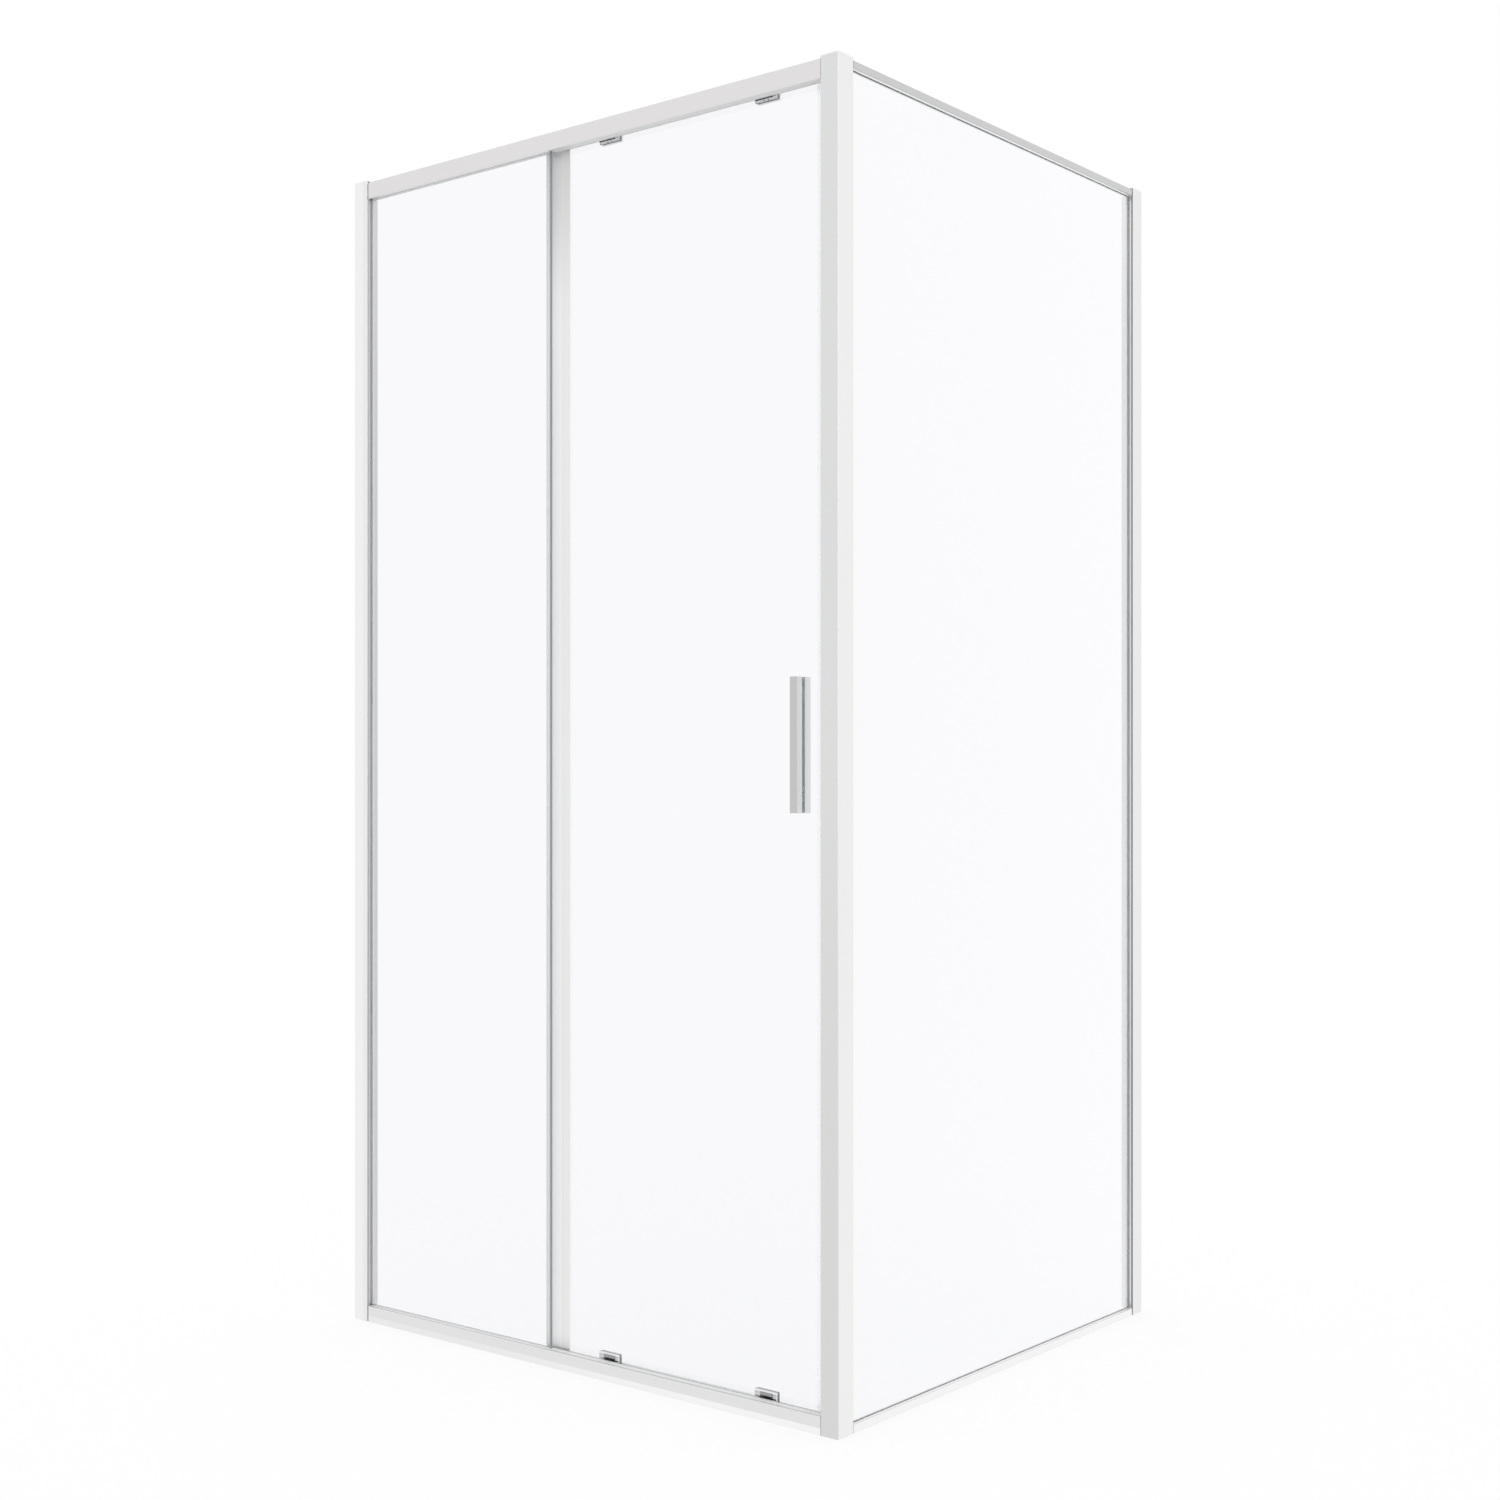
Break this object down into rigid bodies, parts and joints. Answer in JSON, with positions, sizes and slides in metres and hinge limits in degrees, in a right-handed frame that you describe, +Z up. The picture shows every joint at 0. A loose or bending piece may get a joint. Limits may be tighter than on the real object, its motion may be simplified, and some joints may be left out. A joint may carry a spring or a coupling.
{
  "type": "shower enclosure with sliding door",
  "caption": "Corner shower enclosure of clear glass in polished profiles, with a fixed pane and a sliding door in front, a return pane at the side and a slim bar handle.",
  "frame": {"origin": "middle of the enclosure's footprint, on the floor", "axes": "+X to the right along the front, +Y from the front to the back wall, +Z up"},
  "size_m": [0.99, 0.885, 1.9],
  "materials": {
    "polished_profile": "bright polished anodised extrusion",
    "fitting_chrome": "chrome plated",
    "handle_metal": "satin chrome plated bar",
    "pane_glass": "clear toughened glass, 5 mm",
    "gasket_rubber": "grey glazing rubber",
    "clear_seal": "translucent clear seal",
    "magnet_seal": "grey plastic strip round a magnet",
    "wheel_nylon": "white nylon roller",
    "block_plastic": "moulded grey plastic",
    "screw_steel": "stainless steel",
    "rail_strip": "silver grey plastic strip",
    "cap_plastic": "silver grey moulded cap"
  },
  "bodies": {
    "frame": {"bottom_rail": "polished_profile", "bottom_rail_infill": "rail_strip", "bottom_rail_skirt": "polished_profile", "corner_post": "polished_profile", "corner_post_cap": "cap_plastic", "door_stops": "block_plastic", "fixed_pane": "pane_glass", "fixed_pane_gasket_bottom": "gasket_rubber", "fixed_pane_gasket_stile": "gasket_rubber", "fixed_pane_gasket_top": "gasket_rubber", "frame_screws": "screw_steel", "frame_stile_front": "polished_profile", "frame_stile_side": "polished_profile", "post_magnet_seal": "magnet_seal", "rail_connectors": "block_plastic", "rail_screws": "screw_steel", "setting_blocks": "block_plastic", "side_bottom_rail": "polished_profile", "side_pane": "pane_glass", "side_pane_gasket_post": "gasket_rubber", "side_pane_gasket_rails": "gasket_rubber", "side_pane_gasket_stile": "gasket_rubber", "side_top_rail": "polished_profile", "top_rail": "polished_profile", "top_rail_infill": "rail_strip", "wall_profile_caps": "cap_plastic", "wall_profile_front": "polished_profile", "wall_profile_side": "polished_profile"},
    "door": {"carriage_body_left": "fitting_chrome", "carriage_body_right": "fitting_chrome", "carriage_liner_left": "gasket_rubber", "carriage_liner_right": "gasket_rubber", "carriage_plate_left": "fitting_chrome", "carriage_plate_right": "fitting_chrome", "clamp_screws": "screw_steel", "door_bottom_seal": "clear_seal", "door_fin_seal": "clear_seal", "door_glass": "pane_glass", "door_magnet_seal": "clear_seal", "door_stile": "polished_profile", "guide_body_left": "fitting_chrome", "guide_body_right": "fitting_chrome", "guide_liner_left": "gasket_rubber", "guide_liner_right": "gasket_rubber", "guide_plate_left": "fitting_chrome", "guide_plate_right": "fitting_chrome", "handle_inner": "handle_metal", "handle_outer": "handle_metal", "handle_pads": "gasket_rubber", "handle_screws": "screw_steel", "roller_pins": "screw_steel", "wheel_axles": "screw_steel"},
    "wheel_left_left": {"wheel_left_left": "wheel_nylon"},
    "wheel_left_right": {"wheel_left_right": "wheel_nylon"},
    "wheel_right_left": {"wheel_right_left": "wheel_nylon"},
    "wheel_right_right": {"wheel_right_right": "wheel_nylon"},
    "guide_roller_left": {"guide_roller_left": "wheel_nylon"},
    "guide_roller_right": {"guide_roller_right": "wheel_nylon"},
    "release_tab_left": {"release_tab_left": "block_plastic"},
    "release_tab_right": {"release_tab_right": "block_plastic"}
  },
  "joints": [
    {"name": "door_slide", "type": "slide", "parent": "frame", "child": "door", "axis": [-1, 0, 0], "range_m": [0, 0.37]},
    {"name": "wheel_left_left_spin", "type": "hinge", "parent": "door", "child": "wheel_left_left", "pos_m": [0.047, -0.4194, 1.885], "axis": [0, 1, 0], "continuous": true},
    {"name": "wheel_left_right_spin", "type": "hinge", "parent": "door", "child": "wheel_left_right", "pos_m": [0.069, -0.4194, 1.885], "axis": [0, 1, 0], "continuous": true},
    {"name": "wheel_right_left_spin", "type": "hinge", "parent": "door", "child": "wheel_right_left", "pos_m": [0.3445, -0.4194, 1.885], "axis": [0, 1, 0], "continuous": true},
    {"name": "wheel_right_right_spin", "type": "hinge", "parent": "door", "child": "wheel_right_right", "pos_m": [0.3665, -0.4194, 1.885], "axis": [0, 1, 0], "continuous": true},
    {"name": "guide_roller_left_spin", "type": "hinge", "parent": "door", "child": "guide_roller_left", "pos_m": [0.058, -0.41925, 0.0084], "axis": [0, 0, 1], "continuous": true},
    {"name": "guide_roller_right_spin", "type": "hinge", "parent": "door", "child": "guide_roller_right", "pos_m": [0.3555, -0.41925, 0.0084], "axis": [0, 0, 1], "continuous": true},
    {"name": "release_tab_left_press", "type": "slide", "parent": "door", "child": "release_tab_left", "axis": [0, 0, -1], "range_m": [0, 0.002], "stiffness_N_per_m": 300, "springref_m": -0.001},
    {"name": "release_tab_right_press", "type": "slide", "parent": "door", "child": "release_tab_right", "axis": [0, 0, -1], "range_m": [0, 0.002], "stiffness_N_per_m": 300, "springref_m": -0.001}
  ],
  "couplings": [
    {"joint": "wheel_left_left_spin", "follows": "door_slide", "rad_per_m": -126.58},
    {"joint": "wheel_left_right_spin", "follows": "door_slide", "rad_per_m": -126.58},
    {"joint": "wheel_right_left_spin", "follows": "door_slide", "rad_per_m": -126.58},
    {"joint": "wheel_right_right_spin", "follows": "door_slide", "rad_per_m": -126.58},
    {"joint": "guide_roller_left_spin", "follows": "door_slide", "rad_per_m": 155.04},
    {"joint": "guide_roller_right_spin", "follows": "door_slide", "rad_per_m": 155.04}
  ]
}
